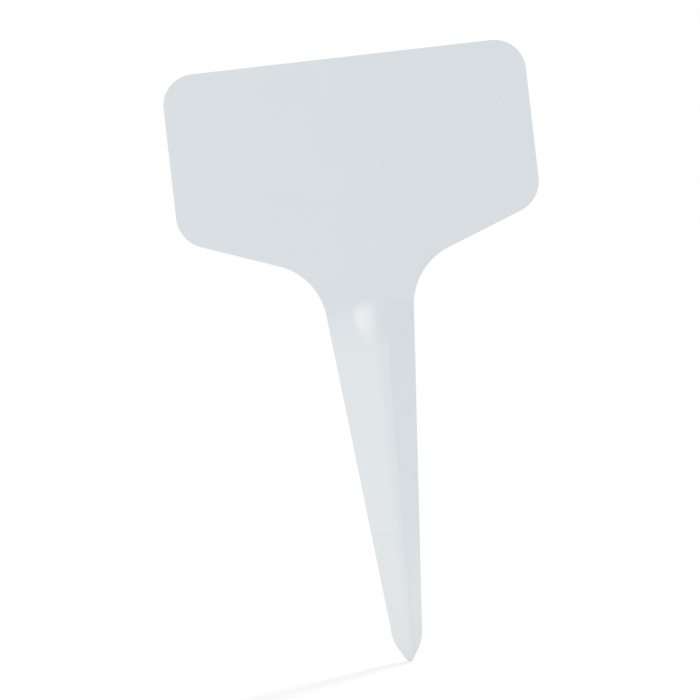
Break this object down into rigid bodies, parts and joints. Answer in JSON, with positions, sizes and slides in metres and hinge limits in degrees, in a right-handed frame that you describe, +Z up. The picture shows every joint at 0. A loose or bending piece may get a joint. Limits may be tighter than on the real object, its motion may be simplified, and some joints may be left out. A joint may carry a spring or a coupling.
{
  "type": "plant label stake",
  "caption": "T-shaped plant label stake: a wide flat head to write on, sloping shoulders and a tapering pointed stem with a stiffening fold pressed down its length.",
  "frame": {"origin": "level with the end of the point, in the middle of the head's width and of the flat sheet's thickness", "axes": "+Z up the stem towards the head's top edge, +X across the head to the right as seen from the front, -Y out of the front, the side that the fold stands out on"},
  "size_m": [0.06, 0.0023, 0.0998],
  "materials": {
    "white_plastic": "satin"
  },
  "bodies": {
    "root": {"label_stake": "white_plastic"}
  },
  "joints": []
}
